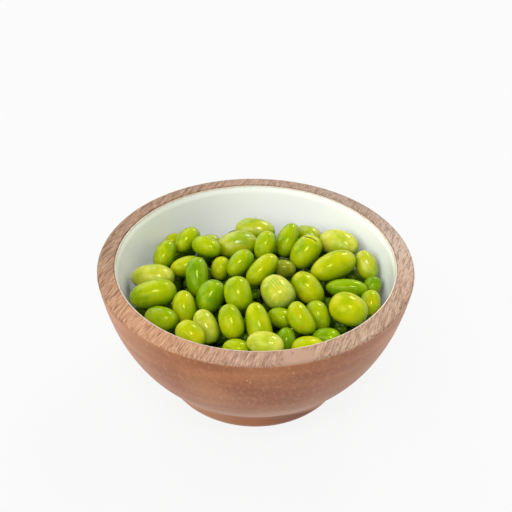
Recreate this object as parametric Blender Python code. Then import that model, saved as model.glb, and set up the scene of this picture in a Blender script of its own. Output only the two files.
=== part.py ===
"""A small turned wooden bowl, enamelled white inside and filled with shelled edamame beans.

The bowl stands on its foot at the origin, +Z up. Lengths below are in millimetres and angles in
degrees; the meshes are in metres. Every piece keeps GAP to the pieces it touches.
"""

import math
from typing import NamedTuple

import bmesh
import bpy
import numpy as np
from mathutils import Matrix

MM = 0.001
GAP = 0.3
TURNS = 64  # flats round the turned pieces
SHARP_EDGE = 35.0  # degrees between faces that meet in an edge, not in a curve

# The bowl: rim, wall, foot and floor.
RIM_RADIUS = 60.0
RIM_WIDTH = 6.8
RIM_EASE = 0.5
BOWL_HEIGHT = 55.8
WALL_END_RADIUS = 41.2
WALL_END_HEIGHT = 9.8
WALL_CURVE = ((58.6, 38.5), (54.0, 21.5))
FOOT_EDGE_RADIUS = 39.9
FOOT_EDGE_HEIGHT = 3.2
FOOT_STEP = 0.6  # how far the foot's band is set back under the edge above it
FOOT_EASE = 0.8
FLARE_RADIUS = 40.2
FLARE_HEIGHT = 6.4
BASE_RADIUS = 38.2
FLOOR_HEIGHT = 9.2
HOLLOW_CURVE = ((52.8, 31.5), (50.5, 9.2))

# The enamel skin inside the bowl.
ENAMEL = 0.7
ENAMEL_BELOW_RIM = 0.25

# The beans that lie underneath, joined end to end: two spirals, and a layer of rings over them.
LOWER_BEAN = (13.0, 8.6, 8.4)
JOIN = 1.1  # how far each joined bean reaches past its own length
STRING_SIDES = 6
STRING_PITCH = 9.4
SPIRAL_START = 5.0
BOTTOM_HEIGHT = 16.3
MIDDLE_HEIGHT = 23.9
RING_HEIGHT = 32.8
RINGS = 5

BEAN_RINGS = 6
BEAN_SIDES = 8
HILUM_SIDE = 0.86  # the side where a bean grew on its pod is flatter

# How loose beans are moved clear of each other: the rounds, the share of an overlap that each round
# takes away, and how finely the gap between two beans is searched for.
SETTLE_STEPS = 160
SHARE_BETWEEN_LOOSE = 0.4
SHARE_FROM_BELOW = 0.6
GAP_SEARCH_STEPS = 30
GAP_SEARCH_RATE = 0.08
NEIGHBOUR_REACH = 20.0  # beans whose middles are further apart never touch

# Length, width and thickness of each kind of bean.
KINDS = {
    "big": (18.0, 12.0, 10.5),
    "huge": (20.0, 12.2, 10.7),
    "broad": (18.4, 13.2, 11.6),
    "full": (16.2, 12.0, 10.8),
    "round": (14.6, 12.8, 11.4),
    "plump": (15.0, 11.0, 10.0),
    "stout": (13.8, 11.0, 9.8),
    "long": (16.2, 9.4, 8.6),
    "slim": (16.5, 8.0, 7.6),
    "medium": (13.3, 9.2, 8.4),
    "short": (11.8, 9.2, 8.4),
    "small": (10.4, 8.2, 7.6),
    "tiny": (8.6, 7.4, 7.0),
}


class Bean(NamedTuple):
    """One loose bean: its kind, the place of its middle, and the heading and rise of its length."""

    kind: str
    x: float
    y: float
    z: float
    heading: float
    rise: float


# The loose beans on top, from the back of the bowl to the front.
BEANS = (
    Bean("medium", -31, 26, 43, 52, 20),
    Bean("tiny", -35, 28, 41, 40, 10),
    Bean("medium", -38, 15, 43, 74, 28),
    Bean("medium", -18, 20, 44, -30, 0),
    Bean("tiny", -20, 28, 39, -15, 5),
    Bean("broad", -8, 24, 43, 10, 5),
    Bean("big", -2, 31, 43, -14, 4),
    Bean("medium", 2, 20, 45, 70, 34),
    Bean("long", 14, 26, 44, 68, 31),
    Bean("medium", 23, 33, 42, -32, 4),
    Bean("full", 19, 16, 43, 50, 28),
    Bean("broad", 35, 24, 44, -38, 6),
    Bean("huge", 32, 5, 44, 26, 10),
    Bean("medium", 47, 8, 43, 112, 32),
    Bean("slim", 36, -2, 42, -12, 6),
    Bean("tiny", 46, 0, 40, 60, 25),
    Bean("small", 44, -13, 42, 80, 28),
    Bean("round", 33, -21, 45, 152, 8),
    Bean("plump", 20, -6, 43, 134, 24),
    Bean("round", 9, -12, 43, 122, 16),
    Bean("long", 1, 4, 45, 46, 22),
    Bean("medium", -8, 8, 42, 48, 22),
    Bean("small", -11, 8, 40, 80, 28),
    Bean("medium", -28, 8, 42, 18, 5),
    Bean("long", -23, 0, 43, 95, 36),
    Bean("big", -41, 0, 42, -10, 5),
    Bean("big", -38, -12, 43, 15, 4),
    Bean("medium", -27, -17, 41, 104, 30),
    Bean("medium", -32, -20, 41, -24, 4),
    Bean("stout", -18, -12, 42, 62, 28),
    Bean("stout", -10, -12, 44, 107, 32),
    Bean("medium", -10, -27, 43, 110, 33),
    Bean("medium", -19, -30, 42, 120, 28),
    Bean("long", 1, -27, 43, 108, 34),
    Bean("medium", 2, -39, 43, -20, 4),
    Bean("small", 12, -21, 40, -30, 4),
    Bean("medium", 17, -26, 42, 127, 28),
    Bean("short", 23, -22, 42, 114, 30),
    Bean("tiny", 13, -31, 41, 90, 30),
    Bean("small", 23, -31, 41, -12, 4),
    Bean("short", 19, -37, 42, 8, 4),
    Bean("small", -5, -37, 40, -15, 4),
    Bean("short", -20, -31, 42, 145, 8),
    Bean("small", 13, 11, 40, -10, 0),
)


def curve_points(start, controls, end, count):
    """Points of the cubic curve from start to end, both included."""
    t = np.linspace(0.0, 1.0, count)[:, None]
    near, far = (np.array(point) for point in controls)
    return (
        (1 - t) ** 3 * np.array(start)
        + 3 * (1 - t) ** 2 * t * near
        + 3 * (1 - t) * t**2 * far
        + t**3 * np.array(end)
    )


def hollow_profile(count=9):
    """The wood's inside from the rim to the middle of the floor, as radius and height."""
    start = (RIM_RADIUS - RIM_WIDTH, BOWL_HEIGHT)
    return curve_points(start, HOLLOW_CURVE, (0.0, FLOOR_HEIGHT), count)


def inwards(profile, distance):
    """A profile of the hollow moved into the hollow by a distance, with its end kept on the axis."""
    ahead = np.gradient(profile, axis=0)
    normal = np.stack([ahead[:, 1], -ahead[:, 0]], axis=1)
    normal /= np.linalg.norm(normal, axis=1)[:, None]
    normal[-1] = (0.0, 1.0)
    moved = profile + normal * distance
    moved[-1, 0] = 0.0
    return moved


def bowl_profile():
    """The wooden bowl's outline from the middle of its base, up the outside and down the hollow."""
    foot = [
        (0.0, 0.0),
        (BASE_RADIUS, 0.0),
        (BASE_RADIUS + FOOT_EASE, FOOT_EASE),
        (FOOT_EDGE_RADIUS - FOOT_STEP, FOOT_EDGE_HEIGHT - FOOT_STEP),
        (FOOT_EDGE_RADIUS, FOOT_EDGE_HEIGHT),
        (FLARE_RADIUS, FLARE_HEIGHT),
    ]
    top = (RIM_RADIUS, BOWL_HEIGHT - RIM_EASE)
    wall = curve_points(top, WALL_CURVE, (WALL_END_RADIUS, WALL_END_HEIGHT), 8)[::-1]
    rim = [(RIM_RADIUS - RIM_EASE, BOWL_HEIGHT)]
    return [*foot, *map(tuple, wall), *rim, *map(tuple, hollow_profile())]


def enamel_profiles():
    """The enamel skin's outer and inner outlines, both from its top edge to the axis."""
    below = np.array([0.0, -ENAMEL_BELOW_RIM])
    hollow = hollow_profile()
    hollow[0] += below
    outer = inwards(hollow, GAP)
    return outer, inwards(outer, ENAMEL)


def material(name, colour, roughness):
    """A Principled material of one linear colour."""
    made = bpy.data.materials.new(name)
    made.use_nodes = True
    shader = made.node_tree.nodes["Principled BSDF"]
    shader.inputs["Base Color"].default_value = (*colour, 1.0)
    shader.inputs["Roughness"].default_value = roughness
    return made


def add_object(name, mesh, finish):
    """An object of the mesh in the scene, smooth, with its material."""
    mesh.shade_smooth()
    if not mesh.materials:
        mesh.materials.append(finish)
    made = bpy.data.objects.new(name, mesh)
    bpy.context.scene.collection.objects.link(made)
    return made


def turned(name, profile, finish):
    """A solid turned from a closed outline, or from one whose two ends lie on the axis."""
    shape = bmesh.new()
    corners = [shape.verts.new((r * MM, 0.0, z * MM)) for r, z in profile]
    edges = [shape.edges.new(pair) for pair in zip(corners, corners[1:])]
    bmesh.ops.spin(
        shape,
        geom=corners + edges,
        axis=(0.0, 0.0, 1.0),
        cent=(0.0, 0.0, 0.0),
        angle=math.tau,
        steps=TURNS,
        use_merge=True,
    )
    bmesh.ops.remove_doubles(shape, verts=shape.verts, dist=1e-6)
    bmesh.ops.dissolve_degenerate(shape, edges=shape.edges, dist=1e-7)
    bmesh.ops.recalc_face_normals(shape, faces=shape.faces)
    mesh = bpy.data.meshes.new(name)
    shape.to_mesh(mesh)
    shape.free()
    made = add_object(name, mesh, finish)
    mesh.set_sharp_from_angle(angle=math.radians(SHARP_EDGE))
    return made


def wooden_bowl():
    wood = material("turned_wood", (0.42, 0.19, 0.10), 0.55)
    return turned("wooden_bowl", bowl_profile(), wood)


def enamel_lining():
    enamel = material("white_enamel", (0.78, 0.80, 0.75), 0.2)
    outer, inner = enamel_profiles()
    outline = [*map(tuple, outer[::-1]), *map(tuple, inner)]
    return turned("enamel_lining", outline, enamel)


def bean_mesh(kind, finish):
    """One bean with its length along X, its flatter side along -Y and its thickness along Z."""
    size = KINDS[kind]
    shape = bmesh.new()
    bmesh.ops.create_uvsphere(shape, u_segments=BEAN_SIDES, v_segments=BEAN_RINGS, radius=0.5)
    bmesh.ops.rotate(shape, verts=shape.verts, matrix=Matrix.Rotation(math.pi / 2, 3, "Y"))
    bmesh.ops.scale(shape, verts=shape.verts, vec=[side * MM for side in size])
    flat_side = [vert for vert in shape.verts if vert.co.y < 0.0]
    bmesh.ops.scale(shape, verts=flat_side, vec=(1.0, HILUM_SIDE, 1.0))
    mesh = bpy.data.meshes.new(f"{kind}_bean")
    shape.to_mesh(mesh)
    shape.free()
    mesh.shade_smooth()
    mesh.materials.append(finish)
    return mesh


def bean_axes(heading, rise):
    """Unit vectors along a bean's length, width and thickness, as the columns of a matrix."""
    turn = math.radians(heading)
    lift = math.radians(rise)
    length = (math.cos(lift) * math.cos(turn), math.cos(lift) * math.sin(turn), math.sin(lift))
    width = (-math.sin(turn), math.cos(turn), 0.0)
    return np.stack([length, width, np.cross(length, width)], axis=1)


def half_axes(beans):
    """Each bean's axes, each scaled to half the bean's size along it."""
    sizes = np.array([KINDS[bean.kind] for bean in beans])
    axes = np.array([bean_axes(bean.heading, bean.rise) for bean in beans])
    return axes * sizes[:, None, :] / 2


def reach(halves, direction):
    """How far each ellipsoid reaches from its middle in a direction."""
    return np.linalg.norm(np.einsum("nij,ni->nj", halves, direction), axis=1)


def clearance(offset, first, second):
    """The widest gap between pairs of ellipsoids, below 0 where they overlap, and its direction."""
    direction = offset / np.linalg.norm(offset, axis=1)[:, None]
    for _ in range(GAP_SEARCH_STEPS):
        pull = offset.copy()
        for halves in (first, second):
            reached = reach(halves, direction)
            pull -= np.einsum("nij,nkj,nk->ni", halves, halves, direction) / reached[:, None]
        pull -= np.einsum("ni,ni->n", pull, direction)[:, None] * direction
        direction = direction + GAP_SEARCH_RATE * pull
        direction /= np.linalg.norm(direction, axis=1)[:, None]
    gap = np.einsum("ni,ni->n", offset, direction)
    return gap - reach(first, direction) - reach(second, direction), direction


def wall_bands():
    """The bands of the enamel's inner face, as the radius, height and offset of their normals."""
    _, inner = enamel_profiles()
    run = np.diff(inner, axis=0)
    normal = np.stack([-run[:, 1], run[:, 0]], axis=1)
    normal /= np.linalg.norm(normal, axis=1)[:, None]
    flats = math.cos(math.pi / TURNS)
    offset = normal[:, 0] * inner[:-1, 0] * flats + normal[:, 1] * inner[:-1, 1]
    return normal[:, 0], normal[:, 1], offset


def wall_planes():
    """The flats of the enamel's inner face all the way round: outward normals and offsets."""
    outward, upward, offset = wall_bands()
    azimuth = (np.arange(TURNS) + 0.5) * math.tau / TURNS
    planes = np.empty((len(outward), TURNS, 3))
    planes[..., 0] = outward[:, None] * np.cos(azimuth)
    planes[..., 1] = outward[:, None] * np.sin(azimuth)
    planes[..., 2] = upward[:, None]
    return planes.reshape(-1, 3), np.repeat(offset, TURNS)


def widest_circle(height):
    """The widest level circle that a string of beans can follow clear of the enamel."""
    outward, upward, offset = wall_bands()
    _, width, thickness = LOWER_BEAN
    room = offset - GAP - np.hypot(outward * width, upward * thickness) / 2 - upward * height
    return (room / outward).min()


def ring_radii():
    """The radii of the rings of joined beans, from the wall inwards."""
    return [widest_circle(RING_HEIGHT) - STRING_PITCH * step for step in range(RINGS)]


def push_inside(middles, halves, planes, offsets):
    """How each bean has to move to clear the enamel, from the band that it crosses most."""
    reached = np.linalg.norm(np.einsum("nij,pi->npj", halves, planes), axis=2)
    excess = middles @ planes.T + reached + GAP - offsets
    worst = excess.argmax(axis=1)
    depth = np.clip(excess[np.arange(len(middles)), worst], 0.0, None)
    return -planes[worst] * depth[:, None]


def ring_beans(radius):
    """Middles and half axes of the joined beans of one ring."""
    length, width, thickness = LOWER_BEAN
    count = round(math.tau * radius / length)
    angle = np.arange(count) * math.tau / count
    middles = np.stack(
        [radius * np.cos(angle), radius * np.sin(angle), np.full(count, RING_HEIGHT)], axis=1
    )
    axes = np.array([bean_axes(math.degrees(turn) + 90.0, 0.0) for turn in angle])
    return middles, axes * np.array([length * JOIN, width, thickness]) / 2


def settled(beans):
    """The beans' middles once each is clear of its neighbours, of the rings below and of the enamel.

    Beans that are too close move apart along the line of least overlap, a little at a time.
    """
    middles = np.array([(bean.x, bean.y, bean.z) for bean in beans], dtype=float)
    halves = half_axes(beans)
    rings = [ring_beans(radius) for radius in ring_radii()]
    below = np.concatenate([ring[0] for ring in rings])
    below_halves = np.concatenate([ring[1] for ring in rings])
    first, second = np.triu_indices(len(beans), 1)
    upper, lower = (grid.ravel() for grid in np.mgrid[: len(beans), : len(below)])
    planes, offsets = wall_planes()
    for _ in range(SETTLE_STEPS):
        move = np.zeros_like(middles)
        near = np.linalg.norm(middles[second] - middles[first], axis=1) < NEIGHBOUR_REACH
        a, b = first[near], second[near]
        gap, direction = clearance(middles[b] - middles[a], halves[a], halves[b])
        shift = np.clip(GAP - gap, 0.0, None)[:, None] * direction * SHARE_BETWEEN_LOOSE
        np.add.at(move, b, shift)
        np.add.at(move, a, -shift)
        near = np.linalg.norm(middles[upper] - below[lower], axis=1) < NEIGHBOUR_REACH
        a, b = lower[near], upper[near]
        gap, direction = clearance(middles[b] - below[a], below_halves[a], halves[b])
        shift = np.clip(GAP - gap, 0.0, None)[:, None] * direction * SHARE_FROM_BELOW
        np.add.at(move, b, shift)
        middles += move
        middles += push_inside(middles, halves, planes, offsets)
    return middles


def loose_beans(finish):
    """The beans that lie free on top, each its own object."""
    meshes = {kind: bean_mesh(kind, finish) for kind in KINDS}
    for number, (bean, middle) in enumerate(zip(BEANS, settled(BEANS)), start=1):
        made = add_object(f"bean_{number:02d}", meshes[bean.kind], finish)
        turn = Matrix(bean_axes(bean.heading, bean.rise).tolist()).to_4x4()
        made.matrix_world = Matrix.Translation(middle * MM) @ turn


def string_of_beans(name, path, ahead, closed, finish):
    """Beans joined end to end along a level path, as one tube that narrows between them.

    path holds four stations for each bean: a neck, a quarter, the middle and a quarter.
    """
    length, width, thickness = LOWER_BEAN
    count = len(path)
    along = np.where(np.arange(count) % 4 == 0, 1.0, np.where(np.arange(count) % 4 == 2, 0.0, 0.5))
    slim = np.sqrt(1.0 - (along / JOIN) ** 2)
    angle = np.arange(STRING_SIDES) * math.tau / STRING_SIDES
    side = np.stack([-ahead[:, 1], ahead[:, 0], np.zeros(count)], axis=1)
    across = np.cos(angle)[None, :, None] * side[:, None] * width / 2
    points = path[:, None] + slim[:, None, None] * across
    points[..., 2] += slim[:, None] * np.sin(angle)[None] * thickness / 2
    sides = STRING_SIDES
    faces = []
    for station in range(count if closed else count - 1):
        here = station * sides
        there = (station + 1) % count * sides
        for k in range(sides):
            after = (k + 1) % sides
            faces.append((here + k, here + after, there + after, there + k))
    if not closed:
        faces.append(tuple(range(sides))[::-1])
        faces.append(tuple((count - 1) * sides + k for k in range(sides)))
    mesh = bpy.data.meshes.new(name)
    mesh.from_pydata((points.reshape(-1, 3) * MM).tolist(), [], faces)
    shape = bmesh.new()
    shape.from_mesh(mesh)
    bmesh.ops.recalc_face_normals(shape, faces=shape.faces)
    shape.to_mesh(mesh)
    shape.free()
    return add_object(name, mesh, finish)


def ring_of_beans(name, radius, finish):
    """A closed ring of joined beans."""
    count = 4 * len(ring_beans(radius)[0])
    angle = (np.arange(count) - 2) * math.tau / count
    path = np.stack([radius * np.cos(angle), radius * np.sin(angle), np.full(count, RING_HEIGHT)], 1)
    ahead = np.stack([-np.sin(angle), np.cos(angle)], axis=1)
    return string_of_beans(name, path, ahead, True, finish)


def spiral_of_beans(name, height, turns, finish):
    """A level spiral of joined beans from near the middle out to the enamel, evenly spaced.

    Two spirals that differ by half a turn nest in each other's grooves.
    """
    outer = widest_circle(height)
    run = math.pi * (outer**2 - SPIRAL_START**2) / STRING_PITCH
    count = round(run / LOWER_BEAN[0])
    gone = np.linspace(0.0, run, 4 * count + 1)
    radius = np.sqrt(SPIRAL_START**2 + gone * STRING_PITCH / math.pi)
    angle = math.tau * (radius / STRING_PITCH + turns)
    path = np.stack([radius * np.cos(angle), radius * np.sin(angle), np.full(len(gone), height)], 1)
    ahead = np.gradient(path[:, :2], axis=0)
    ahead /= np.linalg.norm(ahead, axis=1)[:, None]
    return string_of_beans(name, path, ahead, False, finish)


def lower_beans(finish):
    """The beans underneath, which only show through the gaps between the loose ones."""
    spiral_of_beans("lower_beans_bottom", BOTTOM_HEIGHT, 0.0, finish)
    spiral_of_beans("lower_beans_middle", MIDDLE_HEIGHT, 0.5, finish)
    for number, radius in enumerate(ring_radii(), start=1):
        ring_of_beans(f"lower_ring_{number}", radius, finish)


def clear_scene():
    for old in list(bpy.data.objects):
        bpy.data.objects.remove(old, do_unlink=True)


def main():
    clear_scene()
    wooden_bowl()
    enamel_lining()
    loose_beans(material("bean_skin", (0.36, 0.52, 0.02), 0.3))
    lower_beans(material("bean_skin_below", (0.25, 0.40, 0.01), 0.35))


if __name__ == "__main__":
    main()
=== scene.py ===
"""A turned wooden bowl, enamelled white inside and filled with shelled edamame beans.

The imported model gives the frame. Its nodes say where the bowl, the enamel coat and every bean lie,
and this script gives each of them its fine surface and its finish. Lengths are in metres, written
as millimetres times MM.
"""

import logging
import math
from collections.abc import Iterable
from dataclasses import dataclass, field
from enum import Enum

import bpy
import numpy as np
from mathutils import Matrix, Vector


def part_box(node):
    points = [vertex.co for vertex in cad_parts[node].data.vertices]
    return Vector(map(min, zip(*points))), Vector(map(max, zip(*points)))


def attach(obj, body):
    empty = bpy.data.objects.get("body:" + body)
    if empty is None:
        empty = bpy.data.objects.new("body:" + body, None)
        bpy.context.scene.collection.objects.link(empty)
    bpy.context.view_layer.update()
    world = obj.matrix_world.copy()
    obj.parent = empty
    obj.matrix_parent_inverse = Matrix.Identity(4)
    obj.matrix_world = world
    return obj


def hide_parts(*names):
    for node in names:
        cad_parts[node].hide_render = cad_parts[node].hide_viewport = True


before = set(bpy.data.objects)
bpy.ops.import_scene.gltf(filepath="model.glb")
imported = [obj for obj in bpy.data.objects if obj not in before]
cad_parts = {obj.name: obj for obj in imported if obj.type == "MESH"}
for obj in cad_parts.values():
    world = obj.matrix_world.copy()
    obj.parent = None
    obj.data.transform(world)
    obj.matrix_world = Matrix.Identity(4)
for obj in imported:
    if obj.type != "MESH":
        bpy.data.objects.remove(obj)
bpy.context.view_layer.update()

MM = 0.001
BODY = "root"
LOG = logging.getLogger("bean_bowl")
MIX_A = 6
MIX_B = 7
MIX_OUT = 2

Array = np.ndarray
Colour = tuple[float, float, float, float]
Point = tuple[float, float]
Size = tuple[float, float, float]
Material = bpy.types.Material
Piece = bpy.types.Object
Socket = bpy.types.NodeSocket
Outputs = bpy.types.bpy_prop_collection


# ---------------- meshes


def make_piece(name: str, points: Array, faces: list, finish: Material) -> Piece:
    """Puts a mesh into the scene as a smooth piece of one finish.

    Args:
        name: The piece's name.
        points: Its corners, n by 3, in metres.
        faces: Its faces, as lists of corner numbers.
        finish: The material that it wears.

    Returns:
        The new object, at the origin.
    """
    mesh = bpy.data.meshes.new(name)
    mesh.from_pydata(points.tolist(), [], faces)
    mesh.shade_smooth()
    mesh.materials.append(finish)
    piece = bpy.data.objects.new(name, mesh)
    bpy.context.scene.collection.objects.link(piece)
    return piece


def capped_grid_faces(rings: int, sides: int, first: int = 0) -> list:
    """Faces of a closed skin of rings between two poles.

    Corners run ring by ring, and the two poles follow. Each ring joins the next with four-sided
    faces, and each pole joins its ring with triangles.

    Args:
        rings: How many rings lie between the poles.
        sides: How many corners each ring has.
        first: The number of the first corner.

    Returns:
        The faces, each facing outwards if the rings run anticlockwise as seen from the last pole.
    """
    here = np.arange(sides)
    after = (here + 1) % sides
    step = np.arange(rings - 1)[:, None] * sides
    corners = [step + here, step + after, step + sides + after, step + sides + here]
    start_pole = rings * sides
    last = (rings - 1) * sides
    skin = np.stack(corners, axis=-1).reshape(-1, 4)
    start = np.stack([after, here, np.full(sides, start_pole)], axis=-1)
    end = np.stack([last + here, last + after, np.full(sides, start_pole + 1)], axis=-1)
    return [face for part in (skin, start, end) for face in (part + first).tolist()]


def turned_surface(profile: Array, turns: int) -> tuple[Array, list]:
    """A closed solid turned round the Z axis from a profile that starts and ends on it.

    A point at radius r and height z becomes a ring of points at r cos a, r sin a, z.

    Args:
        profile: Radius and height of each point, from one end on the axis to the other.
        turns: How many points each ring has.

    Returns:
        The corners, and the faces.
    """
    azimuth = np.arange(turns) * math.tau / turns
    radius, height = profile[1:-1, 0][:, None], profile[1:-1, 1][:, None]
    level = np.broadcast_to(height, (len(radius), turns))
    rings = np.stack([radius * np.cos(azimuth), radius * np.sin(azimuth), level], axis=-1)
    poles = np.array([[0.0, 0.0, profile[0, 1]], [0.0, 0.0, profile[-1, 1]]])
    return np.concatenate([rings.reshape(-1, 3), poles]), capped_grid_faces(len(radius), turns)


def cubic(start: Point, near: Point, far: Point, end: Point, count: int) -> Array:
    """Points of the cubic curve from start to end that near and far pull on.

    Args:
        start: The first point, as radius and height.
        near: The control point of the start.
        far: The control point of the end.
        end: The last point.
        count: How many points, both ends included.

    Returns:
        The points, count by 2.
    """
    t = np.linspace(0.0, 1.0, count)[:, None]
    weights = ((1 - t) ** 3, 3 * (1 - t) ** 2 * t, 3 * (1 - t) * t**2, t**3)
    return sum(weight * np.array(point) for weight, point in zip(weights, (start, near, far, end)))


def corner_arc(centre: Point, radius: float, start: float, end: float, count: int = 6) -> Array:
    """Points of an arc: the centre plus the radius times the cosine and sine of an even sweep.

    Args:
        centre: Radius and height of the arc's centre.
        radius: The arc's radius.
        start: The angle of its first point, in degrees, 0 outwards and 90 up.
        end: The angle of its last point.
        count: How many points.

    Returns:
        The points, count by 2.
    """
    angle = np.radians(np.linspace(start, end, count))
    return np.array(centre) + radius * np.stack([np.cos(angle), np.sin(angle)], axis=1)


def bell(distance: Array, width: float, power: int = 2) -> Array:
    """1 in the middle and nearly 0 past the width; a higher power gives a flatter middle."""
    return np.exp(-((distance / width) ** power))


def eased(share: Array) -> Array:
    """A share from 0 to 1 with soft ends: its square times three less twice itself."""
    return share * share * (3 - 2 * share)


# ---------------- finishes


def srgb(code: str) -> Colour:
    """The linear colour of an sRGB hex code.

    Args:
        code: Six hex digits.

    Returns:
        Red, green, blue and alpha.
    """
    parts = [int(code[i : i + 2], 16) / 255 for i in (0, 2, 4)]
    bent = [((part + 0.055) / 1.055) ** 2.4 if part > 0.04045 else part / 12.92 for part in parts]
    return (*bent, 1.0)


@dataclass(frozen=True)
class Pattern:
    """A material's node tree, with short ways to add what a finish is made of."""

    tree: bpy.types.NodeTree

    def node(self, kind: str, sockets: dict | None = None, **settings: object) -> Outputs:
        """Adds a node with its settings and links.

        Args:
            kind: The node's type, without the ShaderNode that starts it.
            sockets: What each input, by name or number, holds: a value or another node's output.
            settings: The node's own settings.

        Returns:
            The new node's outputs.
        """
        made = self.tree.nodes.new("ShaderNode" + kind)
        for name, value in settings.items():
            setattr(made, name, value)
        for name, value in (sockets or {}).items():
            if isinstance(value, Socket):
                self.tree.links.new(value, made.inputs[name])
            else:
                made.inputs[name].default_value = value
        return made.outputs

    def place(self) -> Socket:
        """Where each point of the piece lies, in metres."""
        return self.node("TexCoord")["Object"]

    def noise(self, place: Socket, size: float = 1.0, detail: float = 1.0) -> Socket:
        """Noise with lumps of a size, in the unit of the place."""
        return self.node("TexNoise", {"Vector": place, "Scale": 1 / size, "Detail": detail})[0]

    def spread(self, value: Socket, low: float, high: float, most: float = 1.0) -> Socket:
        """A value stretched so that low becomes 0 and high becomes most, with soft ends."""
        sockets = {"Value": value, "From Min": low, "From Max": high, "To Max": most}
        return self.node("MapRange", sockets, interpolation_type="SMOOTHSTEP")[0]

    def maths(self, way: str, *values: float | Socket) -> Socket:
        """The sum, difference or other combination of values."""
        return self.node("Math", dict(enumerate(values)), operation=way)[0]

    def times(self, first: float | Socket, second: float | Socket) -> Socket:
        """The product of two values."""
        return self.maths("MULTIPLY", first, second)

    def rest(self, share: Socket) -> Socket:
        """What a share leaves of 1."""
        return self.maths("SUBTRACT", 1.0, share)

    def mixed(self, share: Socket, *colours: str | Socket) -> Socket:
        """Two colours, each a hex code or an output, mixed by a share."""
        first, second = [srgb(one) if isinstance(one, str) else one for one in colours]
        return self.node("Mix", {0: share, MIX_A: first, MIX_B: second}, data_type="RGBA")[MIX_OUT]

    def relief(self, height: Socket, strength: float, depth: float) -> Socket:
        """The normals of a relief: its height, how strongly it shows and how deep it is."""
        return self.node("Bump", {"Height": height, "Strength": strength, "Distance": depth})[0]


class Finish:
    """A surface finish that turns itself into a Blender material once."""

    name: str

    def build(self) -> Material:
        """Makes the material: a Principled shader that wears the finish.

        Returns:
            The material.
        """
        made = bpy.data.materials.new(self.name)
        made.use_nodes = True
        made.node_tree.nodes.clear()
        pattern = Pattern(made.node_tree)
        shader = pattern.node("BsdfPrincipled", self.dress(pattern))
        pattern.node("OutputMaterial", {"Surface": shader[0]})
        return made

    def dress(self, pattern: Pattern) -> dict:
        """What the shader's inputs hold: the finish's colour, gloss and relief."""
        raise NotImplementedError


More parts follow.
